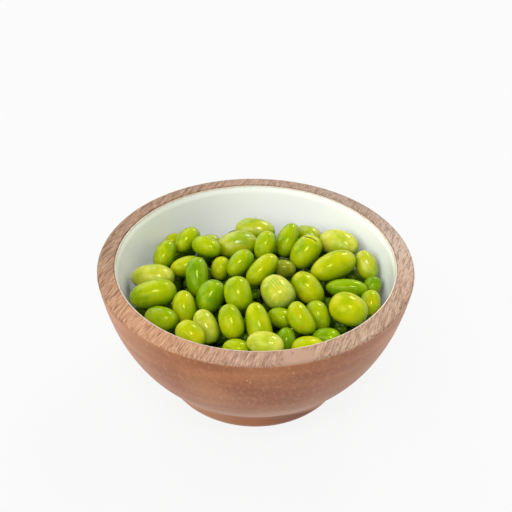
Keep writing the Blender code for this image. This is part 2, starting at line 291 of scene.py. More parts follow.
@dataclass(frozen=True)
class TurnedMangoWood(Finish):
    """Mango wood cut with the grain lying level, turned, sanded and oiled.

    Straight pale and dark fibres with short open pores run one way through the block, so the level
    rim shows them as dashes and the front shows their ends. The oiled wall has a satin shine and
    faint turning lines, and the rim is paler and drier. Sizes are in millimetres along the grain,
    across it and square to both, and spans, where a tone sets in, from the bowl's middle.
    """

    height: float
    rim_radius: float
    name: str = "turned_mango_wood"
    wall: str = "96582E"
    wall_dark: str = "814620"
    wall_light: str = "AE784E"
    # Painted sheen: the paler left and right sides of the wall.
    side: str = "B87E58"
    painted_sheen_side_dark: str = "A46C46"
    # Painted reflection: the paler, pinker tone low on the wall, for the floor's light.
    flare: str = "AC7F64"
    # Painted shade: the darker band low at the front, lighter to its left and darker to its right.
    foot_painted_light: str = "9A6642"
    foot: str = "905226"
    foot_painted_shade: str = "743E1C"
    heart: str = "866A52"
    middle_left: str = "A67A59"
    middle_right: str = "9A7963"
    sap: str = "9A8069"
    sap_far: str = "B09C8C"
    dash: str = "6E4630"
    gleam: str = "D2B298"
    pore: str = "54331F"
    grey_end: str = "7E776C"
    smooth_patch: str = "9A7A64"
    patch_at: Size = (13.5 * MM, -57.5 * MM, 55.5 * MM)
    patch_reach: Point = (3.0 * MM, 7.5 * MM)
    grain_heading: float = 69.0
    grain_tilt: float = 4.0
    fibre_size: Size = (26, 1.1, 1.6)
    fine_fibre_size: Size = (7, 0.42, 0.42)
    band_size: Size = (120, 46, 6.5)
    cloud_size: Size = (60, 26, 26)
    dash_size: Size = (3.4, 0.44, 0.7)
    bold_dash_size: Size = (9, 0.9, 1.3)
    pore_size: Size = (5.5, 1.6, 1.6)
    speck_size: Size = (4.6, 4.0, 4.0)
    painted_sheen_side_span: Point = (20, 50)
    floor_reflection_span: Point = (12, 31)
    heart_span: Point = (24, 54)
    bold_span: Point = (18, 42)
    right_span: Point = (12, -18)
    sap_span: Point = (-26, -56)
    sap_far_span: Point = (-15, 40)
    grey_span: Point = (10, 55)
    foot_painted_light_span: Point = (-14, 2)
    foot_painted_shade_span: Point = (-14, -30)
    foot_shade_slope: float = 0.6
    foot_shade_edge: Point = (-16.6 * MM, -15.0 * MM)
    turning_step: float = 0.55 * MM

    def dress(self, pattern: Pattern) -> dict:
        """Lays fibres, growth bands and pores over the colours of the wall, rim, flare and foot.

        Args:
            pattern: Where its nodes go.

        Returns:
            What the shader's inputs hold.
        """
        spread, maths, times, mixed = pattern.spread, pattern.maths, pattern.times, pattern.mixed
        place = pattern.place()
        turn = (0.0, math.radians(self.grain_tilt), math.radians(self.grain_heading))

        def cells(size: Size) -> Socket:
            """The place turned to the grain and counted in cells of a size."""
            scale = tuple(side * MM for side in size)
            sockets = {"Vector": place, "Rotation": turn, "Scale": scale}
            return pattern.node("Mapping", sockets, vector_type="TEXTURE")[0]

        def noise(size: Size, detail: float) -> Socket:
            """Noise stretched along the grain."""
            return pattern.noise(cells(size), detail=detail)

        def spots(size: Size, whole: float, gone: float) -> Socket:
            """One spot a cell: how far from its middle it is whole, and where it is gone."""
            distance = pattern.node("TexVoronoi", {"Vector": cells(size), "Scale": 1.0})[0]
            return pattern.rest(spread(distance, whole, gone))

        fibres = noise(self.fibre_size, 3.0)
        fine_fibres = noise(self.fine_fibre_size, 2.0)
        bands = noise(self.band_size, 2.0)
        clouds = noise(self.cloud_size, 1.0)
        # Cut fibres show on the rim as short dashes, and as longer, bolder ones in the heartwood.
        dashes = noise(self.dash_size, 1.5)
        bold_dashes = noise(self.bold_dash_size, 2.0)
        # Pores are 0.15 mm wide in life; here they are 0.4 mm, which is as fine as shows.
        pores = spots(self.pore_size, 0.07, 0.24)
        specks = spots(self.speck_size, 0.05, 0.12)

        sideways, front, level = pattern.node("SeparateXYZ", {0: place})
        along, across, _ = pattern.node("SeparateXYZ", {0: cells((1, 1, 1))})
        flat = pattern.node("VectorMath", {0: place, 1: (1, 1, 0)}, operation="MULTIPLY")[0]
        radius = pattern.node("VectorMath", {0: flat}, operation="LENGTH")["Value"]
        # The rim's tones also cover the strip just under its inner edge.
        on_top = spread(level, self.height - 1.1 * MM, self.height - 0.6 * MM)
        near_top = spread(level, self.height - 8.0 * MM, self.height - 6.0 * MM)
        outside = spread(radius, self.rim_radius - 4 * MM, self.rim_radius - 3 * MM)
        on_rim = maths("MAXIMUM", on_top, maths("SUBTRACT", near_top, outside))
        # Painted reflection: the wall is paler and pinker low down, standing in for the glowing
        # floor's light reflected there.
        low, high = self.floor_reflection_span
        painted_floor_reflection = pattern.rest(spread(level, low * MM, high * MM))
        # Painted shade: a darker band low on the front, under a plane that dips inwards, stands in
        # for the shade where the flare turns under to the foot.
        above_foot_shade_edge = maths("ADD", level, times(front, self.foot_shade_slope))
        foot_shade_share = pattern.rest(spread(above_foot_shade_edge, *self.foot_shade_edge))

        wall = mixed(spread(bands, 0.36, 0.64), self.wall, self.wall_dark)
        # Painted sheen: the wall is paler towards its left and right, standing in for the grazing
        # shine there; the fibres run lengthwise on these two sides.
        painted_sheen_wall = mixed(spread(bands, 0.40, 0.60), self.side, self.painted_sheen_side_dark)
        painted_sheen_wall = mixed(spread(fine_fibres, 0.52, 0.70, 0.40), painted_sheen_wall, self.wall_dark)
        low, high = self.painted_sheen_side_span
        aside = times(sideways, sideways)
        wall = mixed(spread(aside, (low * MM) ** 2, (high * MM) ** 2, 0.9), wall, painted_sheen_wall)
        wall = mixed(spread(fibres, 0.45, 0.74, 0.42), wall, self.wall_light)
        wall = mixed(spread(clouds, 0.40, 0.70, 0.40), wall, self.wall_light)
        # Painted reflection of the floor, low on the wall.
        wall = mixed(times(painted_floor_reflection, 0.75), wall, self.flare)
        # Painted light and shade across the band: paler on its left, towards the key light, darker
        # on its right.
        foot = mixed(spread(across, *self.foot_painted_light_span), self.foot, self.foot_painted_light)
        foot = mixed(spread(across, *self.foot_painted_shade_span), foot, self.foot_painted_shade)
        wall = mixed(times(foot_shade_share, 0.95), wall, foot)
        wall = mixed(times(specks, 0.30), wall, self.gleam)

        # The heartwood is darker and greyer, and the sapwood paler: tone runs across the grain.
        rim = mixed(spread(across, *self.heart_span), self.middle_left, self.heart)
        rim = mixed(spread(across, *self.right_span), rim, self.middle_right)
        sapwood = mixed(spread(along, *self.sap_far_span), self.sap, self.sap_far)
        rim = mixed(spread(across, *self.sap_span), rim, sapwood)
        rim = mixed(spread(along, *self.grey_span, 0.6), rim, self.grey_end)
        away = pattern.node("VectorMath", {0: place, 1: self.patch_at}, operation="DISTANCE")
        rough_cut = spread(away["Value"], *self.patch_reach)
        rim = mixed(pattern.rest(rough_cut), rim, self.smooth_patch)
        hatch = times(spread(dashes, 0.54, 0.59, 0.50), rough_cut)
        shine = times(spread(dashes, 0.43, 0.37, 0.24), rough_cut)
        boldness = maths("ADD", 0.36, spread(across, *self.bold_span, 0.30))
        boldness = times(boldness, rough_cut)
        streaks = times(spread(bold_dashes, 0.54, 0.61), boldness)
        rim = mixed(shine, rim, self.gleam)
        rim = mixed(hatch, rim, self.dash)
        rim = mixed(streaks, rim, self.pore)
        rim = mixed(times(pores, 0.5), rim, self.pore)

        roughness = maths("ADD", 0.40, times(on_rim, 0.30))
        # Turning lines 0.5 mm apart, at one radius and height all round.
        outline = maths("DIVIDE", maths("SUBTRACT", radius, level), self.turning_step)
        lines = {"W": outline, "Scale": 1.0, "Detail": 1.0}
        lines = pattern.node("TexNoise", lines, noise_dimensions="1D")[0]
        relief = maths("SUBTRACT", times(lines, 0.5), times(pores, 0.6))
        relief = maths("ADD", relief, times(fine_fibres, 0.5))
        cut = times(times(hatch, on_rim), 0.6)
        return {
            "Base Color": mixed(on_rim, wall, rim),
            "Roughness": maths("ADD", roughness, times(fine_fibres, 0.10)),
            "Specular IOR Level": 0.45,
            "Normal": pattern.relief(maths("SUBTRACT", relief, cut), 0.35, 0.12 * MM),
        }


@dataclass(frozen=True)
class WhiteEnamel(Finish):
    """Off-white enamel poured into the bowl and cured: glossy, with a soft orange-peel surface.

    Its edge under the rim is painted a darker warm beige, as painted shade for the half shadow
    there.
    """

    height: float
    name: str = "white_enamel"
    coat: str = "F3F3F2"
    cool: str = "F1F2EF"
    # Painted shade: the darker beige of the edge under the rim.
    edge: str = "C4B29C"
    tint_size: float = 34 * MM
    ragged_size: float = 2.2 * MM
    ragged_height: float = 0.8 * MM
    peel_size: float = 3.2 * MM

    def dress(self, pattern: Pattern) -> dict:
        """Tints the coat slowly, paints shade on its edge and gives it an orange-peel relief.

        Args:
            pattern: Where its nodes go.

        Returns:
            What the shader's inputs hold.
        """
        place = pattern.place()
        tint = pattern.mixed(pattern.noise(place, self.tint_size), self.coat, self.cool)
        ragged = pattern.noise(place, self.ragged_size, 2.0)
        level = pattern.node("SeparateXYZ", {0: place})[2]
        level = pattern.maths("MULTIPLY_ADD", ragged, self.ragged_height, level)
        # Painted shade: the enamel darkens to beige towards its edge, for the half shadow under the
        # rim.
        painted_shade_near_edge = pattern.spread(level, self.height - 0.3 * MM, self.height + 0.4 * MM)
        return {
            "Base Color": pattern.mixed(painted_shade_near_edge, tint, self.edge),
            "Roughness": 0.22,
            "Coat Weight": 0.5,
            "Coat Roughness": 0.08,
            "Normal": pattern.relief(pattern.noise(place, self.peel_size), 0.25, 0.1 * MM),
        }


@dataclass(frozen=True)
class BeanSkin(Finish):
    """The wet skin of a boiled edamame bean over its waxy flesh.

    Light sinks a millimetre or two into the flesh, so the shaded side glows green. The skin's water
    film gives small sharp lights. Slow patches, fine mottling and, on some, wrinkles or a brown
    flush break up the green, and the side turned away from the key light is painted a deeper green,
    as painted shade. Sizes are in millimetres.
    """

    name: str
    body: str
    deep: str
    thin: str
    # Painted shade: the deeper green of the side turned from the key light.
    flush: str = "B89414"
    painted_shade_green: str = "5C8200"
    scar: str = "8F8F2A"
    crack: str = "2E3A12"
    sheen: str = "FFFF6A"
    flush_share: float = 0.0
    rib_share: float = 0.0
    roughness: float = 0.17
    film: float = 0.12
    film_roughness: float = 0.06
    patch_size: float = 5.5
    mottle_size: float = 2.2
    flush_size: float = 2.8
    pit_size: float = 1.5
    flesh_depth: float = 1.3 * MM
    flesh_reach: Size = (1.0, 1.5, 0.3)

    def dress(self, pattern: Pattern) -> dict:
        """Reads the bean's own coordinates and masks, and mixes its greens by them.

        Args:
            pattern: Where its nodes go.

        Returns:
            What the shader's inputs hold.
        """
        noise, spread, mixed = pattern.noise, pattern.spread, pattern.mixed

        def read(name: str, kind: str = "Fac") -> Socket:
            """One of the values that the bean's corners carry."""
            return pattern.node("Attribute", attribute_name=name)[kind]

        place = read("skin_mm", "Vector")
        patches = spread(noise(place, self.patch_size), 0.38, 0.66, 0.8)
        mottle = spread(noise(place, self.mottle_size, 2.0), 0.48, 0.72, 0.35)
        colour = mixed(patches, self.body, self.deep)
        colour = mixed(mottle, colour, self.thin)
        colour = mixed(read("pale_end"), colour, self.thin)
        colour = mixed(spread(read("tone"), 0.0, 1.0, 0.45), colour, self.deep)
        # Painted shade: the side of the bean turned away from the key light is darkened to a deeper
        # green.
        colour = mixed(spread(read("below"), 0.0, 1.0, 0.8), colour, self.painted_shade_green)
        if self.flush_share:
            patch = spread(noise(place, self.flush_size, 3.0), 0.55, 0.70, self.flush_share)
            colour = mixed(patch, colour, self.flush)
        relief = noise(place, self.pit_size, 2.0)
        if self.rib_share:
            # Fine wrinkles about 1 mm apart run the length of the bean.
            waves = {"Vector": place, "Scale": 0.33, "Distortion": 5.0, "Detail Scale": 0.5}
            lines = pattern.node("TexWave", waves, bands_direction="Y")["Fac"]
            wrinkles = pattern.times(spread(lines, 0.5, 1.0, self.rib_share), read("ribs"))
            colour = mixed(wrinkles, colour, self.thin)
            relief = pattern.maths("ADD", relief, wrinkles)
        colour = mixed(spread(read("scar"), 0.3, 0.8, 0.45), colour, self.scar)
        colour = mixed(spread(read("crack"), 0.35, 0.85, 0.9), colour, self.crack)
        return {
            "Base Color": colour,
            "Roughness": self.roughness,
            "IOR": 1.42,
            "Subsurface Weight": 0.2,
            "Subsurface Radius": self.flesh_reach,
            "Subsurface Scale": self.flesh_depth,
            "Specular IOR Level": 0.36,
            "Specular Tint": srgb(self.sheen),
            "Coat Weight": self.film,
            "Coat Roughness": self.film_roughness,
            "Coat IOR": 1.33,
            "Normal": pattern.relief(relief, 0.35, 0.12 * MM),
        }


@dataclass(frozen=True)
class StudioBoard(Finish):
    """A white light table. The board is dark without its glow, so shadows on it stay faint."""

    name: str = "white_studio_board"
    board: str = "454545"
    board_dark: str = "424242"
    light: str = "FFFFFF"
    glow: float = 0.866
    grain: float = 1 / 30

    def dress(self, pattern: Pattern) -> dict:
        """Gives the board a grain too faint to see and its glow."""
        grain = pattern.noise(pattern.place(), self.grain, 2.0)
        return {
            "Base Color": pattern.mixed(grain, self.board_dark, self.board),
            "Roughness": 0.9,
            "Specular IOR Level": 0.0,
            "Emission Color": srgb(self.light),
            "Emission Strength": self.glow,
        }


# ---------------- the bowl


@dataclass
class WoodenBowl:
    """The turned bowl: foot, flare, bellied wall, flat rim and hollow, as one closed solid.

    The outline runs from the middle of the underside outwards and up, over the rim and down the
    hollow. The wall and the hollow are cubic curves, and every edge is eased with a small arc.
    """

    rim_radius: float
    height: float
    rim_width: float = 6.3 * MM
    rim_ease: float = 1.2 * MM
    inner_ease: float = 0.4 * MM
    wall_end: Point = (41.2 * MM, 9.8 * MM)
    wall_near: Point = (58.6 * MM, 38.5 * MM)
    wall_far: Point = (54.0 * MM, 21.5 * MM)
    foot_edge: Point = (39.9 * MM, 3.2 * MM)
    foot_step: float = 0.6 * MM
    foot_ease: float = 0.8 * MM
    base_radius: float = 38.2 * MM
    floor_height: float = 9.2 * MM
    hollow_near: Point = (52.8 * MM, 31.5 * MM)
    hollow_far: Point = (50.5 * MM, 9.2 * MM)
    groove_radii: tuple[float, ...] = (9.0 * MM, 21.0 * MM, 31.5 * MM)
    groove_depth: float = 0.35 * MM
    groove_width: float = 0.9 * MM
    turns: int = 288

    def underside(self) -> Array:
        """The foot's underside: the height is the groove depth times a bell over each groove.

        Returns:
            Radius and height of its points, from the middle outwards.
        """
        radius = np.linspace(0.0, self.base_radius - self.foot_ease, 96)
        distance = radius[:, None] - np.array(self.groove_radii)
        height = self.groove_depth * bell(distance, self.groove_width).sum(axis=1)
        return np.stack([radius, height], axis=1)

    def outside(self) -> Array:
        """The foot's eased edge, its band with a small step over it, the flare and the wall.

        Returns:
            Radius and height of the points, upwards.
        """
        step_radius, step_height = self.foot_edge
        inset = step_radius - self.foot_step
        ease = corner_arc((self.base_radius - 0.3 * MM, self.foot_ease), self.foot_ease, -90, -20)
        band_near = (self.base_radius + 0.9 * MM, 1.6 * MM)
        band_end = (inset, step_height - 0.4 * MM)
        band = cubic(ease[-1], band_near, (inset, 2.0 * MM), band_end, 8)
        lip = corner_arc((step_radius - 0.25 * MM, step_height + 0.1 * MM), 0.3 * MM, -70, 20)
        flare_near = (step_radius + 0.1 * MM, step_height + 2.2 * MM)
        flare_far = (step_radius + 0.2 * MM, step_height + 4.4 * MM)
        flare = cubic(lip[-1], flare_near, flare_far, self.wall_end, 14)
        top = (self.rim_radius, self.height - self.rim_ease)
        wall = cubic(self.wall_end, self.wall_far, self.wall_near, top, 72)
        return np.concatenate([ease, band[1:], lip[1:], flare[1:], wall[1:]])

    def rim(self) -> Array:
        """The flat rim with its two eased edges.

        Returns:
            Radius and height of the points, inwards.
        """
        ease = self.rim_ease
        outer = corner_arc((self.rim_radius - ease, self.height - ease), ease, 0, 90, 8)
        ease = self.inner_ease
        inner_edge = self.rim_radius - self.rim_width
        inner = corner_arc((inner_edge + ease, self.height - ease), ease, 90, 180)
        across = np.linspace(outer[-1], inner[0], 10)
        return np.concatenate([outer[1:], across[1:-1], inner])

    def hollow(self, count: int = 60) -> Array:
        """Radius and height of the hollow from the rim down to the middle of the floor."""
        start = (self.rim_radius - self.rim_width, self.height)
        return cubic(start, self.hollow_near, self.hollow_far, (0.0, self.floor_height), count)

    def inside(self) -> Array:
        """The hollow's profile below the rim's eased inner edge."""
        hollow = self.hollow()
        return hollow[hollow[:, 1] < self.height - self.inner_ease]

    def build(self, finish: Material) -> Piece:
        """Turns the whole outline round the axis.

        Args:
            finish: The wood.

        Returns:
            The bowl, in place of its CAD node.
        """
        profile = np.concatenate([self.underside(), self.outside(), self.rim(), self.inside()])
        points, faces = turned_surface(profile, self.turns)
        piece = make_piece("turned_bowl", points, faces, finish)
        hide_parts("wooden_bowl")
        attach(piece, BODY)
        return piece


@dataclass
class EnamelCoat:
    """The enamel skin of the hollow. It thins towards its rounded edge, a little under the rim."""

    bowl: WoodenBowl
    back: float = 0.02 * MM
    face: float = 0.9 * MM
    edge_face: float = 0.42 * MM
    thins_over: float = 4.0 * MM
    below_rim: float = 0.5 * MM

    def offset(self, distance: float, edge_distance: float) -> Array:
        """The hollow's profile moved into the hollow along its normals.

        The move grows from edge_distance at the rim to distance at thins_over below it, as a
        smooth step of the depth.

        Args:
            distance: How far the deep part moves.
            edge_distance: How far the top moves.

        Returns:
            The moved points.
        """
        profile = self.bowl.hollow(120)
        ahead = np.gradient(profile, axis=0)
        normal = np.stack([ahead[:, 1], -ahead[:, 0]], axis=1)
        normal /= np.linalg.norm(normal, axis=1)[:, None]
        normal[-1] = (0.0, 1.0)
        depth = np.clip((self.bowl.height - profile[:, 1]) / self.thins_over, 0.0, 1.0)
        move = edge_distance + (distance - edge_distance) * eased(depth)
        moved = profile + normal * move[:, None]
        moved[-1, 0] = 0.0
        return moved

    def build(self, finish: Material) -> Piece:
        """Turns the skin: up its back, round its edge and down its face.

        Args:
            finish: The enamel.

        Returns:
            The coat, in place of its CAD node.
        """
        back = self.offset(self.back, self.back)[::-1]
        face = self.offset(self.face, self.edge_face)
        half = (self.edge_face - self.back) / 2
        top = self.bowl.height - self.below_rim
        back = back[back[:, 1] < top - half]
        face = face[face[:, 1] < top - half]
        middle = (back[-1, 0] + face[0, 0]) / 2
        edge = corner_arc((middle, top - half), (back[-1, 0] - face[0, 0]) / 2, 0, 180, 12)
        points, faces = turned_surface(np.concatenate([back, edge, face]), self.bowl.turns)
        piece = make_piece("enamel_coat", points, faces, finish)
        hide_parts("enamel_lining")
        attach(piece, BODY)
        return piece


# ---------------- the beans


class Skin(Enum):
    """The skins that the beans in the bowl have."""

    FRESH = BeanSkin("bean_skin_fresh", "92A202", "6C8C00", "B4B608")
    YELLOW = BeanSkin("bean_skin_yellow", "A4A804", "849800", "B6B20E")
    DEEP = BeanSkin("bean_skin_deep", "789600", "567E00", "96A804")
    PALE = BeanSkin(
        "bean_skin_pale",
        "AEB02A",
        "92A214",
        "C8C65C",
        sheen="FFFFB0",
        film=0.35,
        film_roughness=0.12,
    )
    FLUSHED = BeanSkin("bean_skin_flushed", "A0A802", "769000", "B6B20E", flush_share=0.3)
    GLAZED = BeanSkin(
        "bean_skin_glazed",
        "A0A60C",
        "789200",
        "BCBA28",
        sheen="FFFFD8",
        roughness=0.25,
        film=0.6,
        film_roughness=0.15,
    )
    RIBBED = BeanSkin("bean_skin_ribbed", "A8AC28", "7E9A10", "CECA74", rib_share=0.42)
    OLIVE = BeanSkin("bean_skin_olive", "848A16", "66740A", "A0A030", painted_shade_green="5C6808")
    # Painted shade: a darker copy of the skin for the beans underneath, for the shade among them.
    BELOW = BeanSkin("bean_skin_below", "4C6C00", "345200", "607C04", painted_shade_green="284400")


@dataclass(frozen=True)
class BeanLook:
    """What makes one bean differ: its skin, and how strong its own features are.

    The cap is how pale one end is, the split a seam's angle in degrees round the length, 90 on the
    upper side, crack_at where a crack crosses the length, from -1 to 1, the kidney its bend, the
    ribs its wrinkles, and the tone how deep its green is.
    """

    skin: Skin = Skin.FRESH
    cap: float = 0.0
    split: float | None = None
    crack_at: float | None = None
    kidney: float = 0.02
    ribs: float = 0.0
    tone: float | None = None


# The beans' skins and tones, by their number in the frame, and what else they show. One without a
# skin here has a usual one, and one without a tone draws it.
TONES = {
    Skin.FRESH: {
        1: None, 3: 0.3, 4: 0.3, 8: None, 9: 0.6, 11: 0.2, 22: 0.6, 27: 0.2, 29: 0.6, 31: 0.5,
        36: 0.3, 38: 0.4,
    },
    Skin.YELLOW: {
        2: 0.0, 13: 0.3, 18: 0.1, 21: 0.7, 23: 0.0, 24: 0.3, 28: 0.6, 34: 0.3, 41: 0.0, 43: 0.1,
    },
    Skin.DEEP: {15: 0.3, 16: 0.8, 25: 0.6, 30: 0.1, 39: 0.8, 40: 0.1},
    Skin.PALE: {12: 0.0, 26: 0.3, 33: 0.0, 35: 0.0},
    Skin.FLUSHED: {17: 0.3, 19: 0.2, 32: 0.6, 37: 0.7},
    Skin.GLAZED: {5: 0.8, 6: 0.2, 7: 0.1, 10: 0.5, 14: 0.2},
    Skin.RIBBED: {20: 0.0},
    Skin.OLIVE: {44: 0.0},
}
FEATURES = {
    4: {"kidney": 0.04},
    6: {"ribs": 0.4},
    11: {"cap": 0.7, "crack_at": 0.60},
    20: {"ribs": 1.0},
    33: {"split": 100.0},
    35: {"cap": 0.3},
    37: {"kidney": 0.20},
    43: {"cap": 0.5},
}
LOOKS = {
    number: BeanLook(skin, tone=tone, **FEATURES.get(number, {}))
    for skin, tones in TONES.items()
    for number, tone in tones.items()
}
LOOSE_BEANS = sorted(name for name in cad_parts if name.startswith("bean_"))


def corners_of(node: str) -> Array:
    """The different corner points of a CAD node, in metres.

    Args:
        node: The node's name.

    Returns:
        The points, n by 3.
    """
    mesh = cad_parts[node].data
    flat = np.empty(len(mesh.vertices) * 3, np.float32)
    mesh.vertices.foreach_get("co", flat)
    return np.unique(np.round(flat.reshape(-1, 3), 6), axis=0)


def level_axes(heading: float) -> Array:
    """The unit axes, as columns, of a bean that lies level.

    Args:
        heading: The angle of its length from X.

    Returns:
        The axes, 3 by 3.
    """
    length = np.array([math.cos(heading), math.sin(heading), 0.0])
    width = np.array([-math.sin(heading), math.cos(heading), 0.0])
    return np.stack([length, width, np.cross(length, width)], axis=1)


@dataclass
class BeanPlace:
    """Where a bean lies: its middle, its unit axes as columns and its half sizes along them."""

    middle: Array
    axes: Array
    half: Array

    @classmethod
    def of_node(cls, node: str) -> "BeanPlace":
        """Reads a bean's place from its CAD node.

        The length runs between the two corners furthest apart, the width towards the corner that
        is furthest from that line, and the thickness square to both.

        Args:
            node: The node's name.

        Returns:
            The place.
        """
        points = corners_of(node)
        apart = np.linalg.norm(points[:, None] - points[None], axis=2)
        first, second = np.unravel_index(apart.argmax(), apart.shape)
        middle = (points[first] + points[second]) / 2
        length = points[second] - points[first]
        half_length = np.linalg.norm(length) / 2
        length /= 2 * half_length * (1 if length[0] > 0 else -1)
        offset = points - middle
        across = offset - np.outer(offset @ length, length)
        distance = np.linalg.norm(across, axis=1)
        width = across[distance.argmax()] / distance.max()
        thickness = np.cross(length, width)
        half_thickness = np.abs(offset @ thickness).max()
        half = np.array([half_length, distance.max(), half_thickness])
        return cls(middle, np.stack([length, width, thickness], axis=1), half)


@dataclass
class Bean:
    """One bean: an egg-shaped, slightly bent and uneven skin with its scar, split and wrinkles."""

    place: BeanPlace
    look: BeanLook
    draw: np.random.Generator
    rings: int
    sides: int
    hilum_side: float = 0.95
    scar_half: Point = (0.09, 0.24)
    dent_half: Point = (0.6, 0.5)
    dent_depth: float = 0.02
    crack_half: float = 0.05
    crack_depth: float = 0.06
    lip_off: float = 0.11
    lip_half: float = 0.04
    lip_height: float = 0.02
    split_half: float = 0.11
    split_depth: float = 0.07
    cap_from: float = 0.52
    lump: float = 0.006
    # Painted shade: where it sets in and how far it grows, by how far a point faces from the key
    # light.
    shade_from: float = 0.72
    shade_over: float = 1.15
    key_light_way: Size = (-0.50, -0.25, 0.83)
    wrinkled_way: Size = (0.45, 0.20, 0.87)
    fullness: float = field(init=False)
    taper: float = field(init=False)

    def __post_init__(self) -> None:
        """Draws the bean's own fullness and taper."""
        self.fullness = self.draw.uniform(2.08, 2.3)
        self.taper = self.draw.uniform(-0.10, 0.10)

    def unevenness(self, along: Array, angle: Array) -> Array:
        """Soft lumps: the sum of six waves of random phase round and along the bean.

        Args:
            along: Where each ring lies along the length, from -1 to 1.
            angle: The angle of each corner of a ring.

        Returns:
            How far each point is raised, as a share of its distance from the length.
        """
        total = np.zeros_like(along * angle)
        for wave in range(6):
            turns = wave % 3 + 1
            phase, shift = self.draw.uniform(0, math.tau, 2)
            pull = 1.5 + wave * 0.6
            total += np.cos(turns * angle + phase) * np.sin(pull * along + shift) / turns
        return total * self.lump

    def opening(self, along: Array, angle: Array) -> tuple[Array, Array, Array]:
        """The crack across the bean or the split along it, if it has one.

        A crack wavers with the sine of four times the angle, between two raised lips. A split
        runs from near the middle to the far end and wavers with the sine of the length.

        Args:
            along: Where each ring lies along the length, from -1 to 1.
            angle: The angle of each corner of a ring.

        Returns:
            How far each point is in the opening and on its lip, and what the opening leaves of
            its distance from the length.
        """
        none = np.zeros_like(along * angle)
        if self.look.crack_at is not None:
            reach = bell(angle - math.pi / 2, 0.8, 6)
            off = along - self.look.crack_at - 0.03 * np.sin(4 * angle)
            crack = bell(off, self.crack_half, 4) * reach
            lip = bell(np.abs(off) - self.lip_off, self.lip_half) * reach
            return crack, lip, 1 - self.crack_depth * crack + self.lip_height * lip
        if self.look.split is not None:
            turned = angle - math.radians(self.look.split)
            aside = np.abs((turned + math.pi) % math.tau - math.pi)
            waver = 0.10 * np.sin(5 * along)
            reach = np.clip((along + 0.35) / 0.3, 0, 1)
            crack = bell(aside - waver * aside, self.split_half) * reach
            return crack, none, 1 - self.split_depth * crack
        return none, none, none + 1

    def surface(self) -> tuple[Array, dict[str, Array]]:
        """The skin's corners, ring by ring with the two poles last, and what its finish reads.

        Along the length a point lies at the cosine of its ring's angle, and its distance from the
        length is the sine, both to a power that fills out the ends. Round the bean the width and
        the thickness follow the cosine and sine. The ends bend towards the flatter side, where the
        scar sits in a shallow dent.

        Returns:
            The corners in metres, and the values for each corner by name.
        """
        look = self.look
        power = 2 / self.fullness
        sweep = np.linspace(0.0, math.pi, self.rings + 2)[1:-1, None]
        angle = np.arange(self.sides)[None] * math.tau / self.sides
        along = -np.sign(np.cos(sweep)) * np.abs(np.cos(sweep)) ** power
        ring = np.sin(sweep) ** power * (1 - self.taper * along)
        lumps = 1 + self.unevenness(along, angle)
        flat_side = np.where(np.cos(angle) < 0, self.hilum_side, 1.0)
        width = ring * np.cos(angle) * flat_side * lumps
        thickness = ring * np.sin(angle) * lumps

        from_scar = angle - math.pi
        scar = bell(from_scar, self.scar_half[0]) * bell(along, self.scar_half[1], 4)
        dent = bell(from_scar, self.dent_half[0]) * bell(along, self.dent_half[1])
        width = width + (self.dent_depth + look.kidney) * dent
        width = width - look.kidney * (along**2 - 0.25)
        crack, lip, inward = self.opening(along, angle)

        full = np.broadcast_to(along, width.shape)
        local = np.stack([full, width * inward, thickness * inward], axis=-1).reshape(-1, 3)
        pole = -0.75 * look.kidney
        local = np.concatenate([local, np.array([[-1.0, pole, 0.0], [1.0, pole, 0.0]])])
        facing = local / self.place.half @ self.place.axes.T
        facing /= np.linalg.norm(facing, axis=1)[:, None]
        # Painted shade: below grows on the side turned away from the key light, at the front left
        # and above.
        toward_key_light = facing @ np.array(self.key_light_way)
        below = np.clip((self.shade_from - toward_key_light) / self.shade_over, 0.0, 1.0)
        ribs = np.clip((facing @ np.array(self.wrinkled_way) - 0.35) / 0.4, 0.0, 1.0) * look.ribs
        local = local * self.place.half
        points = self.place.middle + local @ self.place.axes.T

        cap_edge = self.cap_from + 0.06 * np.sin(3 * angle + 1.0)
        cap = np.clip((full - cap_edge) / 0.08, 0, 1) * look.cap
        pale = np.clip(np.maximum(cap, 0.35 * np.abs(along) ** 6 + lip), 0.0, 1.0)
        tone = look.tone if look.tone is not None else self.draw.uniform(0.0, 0.6)
        values = {
            "pale_end": self.with_poles(pale),
            "scar": self.with_poles(scar),
            "crack": self.with_poles(crack),
            "ribs": ribs,
            "tone": np.full(len(points), tone),
            "below": eased(below),
            "skin_mm": local / MM + self.draw.uniform(-500, 500, 3),
        }
        return points, values

    @staticmethod
    def with_poles(values: Array) -> Array:
        """The values ring by ring, then those of the first and last ring for the two poles."""
        return np.concatenate([values.ravel(), values[0, :1], values[-1, :1]])


def bean_piece(name: str, finish: Material, beans: Iterable[Bean]) -> Piece:
    """Makes one piece of beans, each its own closed skin, with the values that its finish reads.

    Args:
        name: The piece's name.
        finish: The skin's material.
        beans: The beans, each made only once the one before it has its surface.

    Returns:
        The piece.
    """
    points, faces, values = [], [], []
    for bean in beans:
        skin, own = bean.surface()
        faces += capped_grid_faces(bean.rings, bean.sides, len(points) * len(skin))
        points.append(skin)
        values.append(own)
    piece = make_piece(name, np.concatenate(points), faces, finish)
    for kind in values[0]:
        rows = np.concatenate([own[kind] for own in values]).astype(np.float32)
        form, field_name = ("FLOAT_VECTOR", "vector") if rows.ndim == 2 else ("FLOAT", "value")
        attribute = piece.data.attributes.new(kind, form, "POINT")
        attribute.data.foreach_set(field_name, rows.ravel())
    return piece


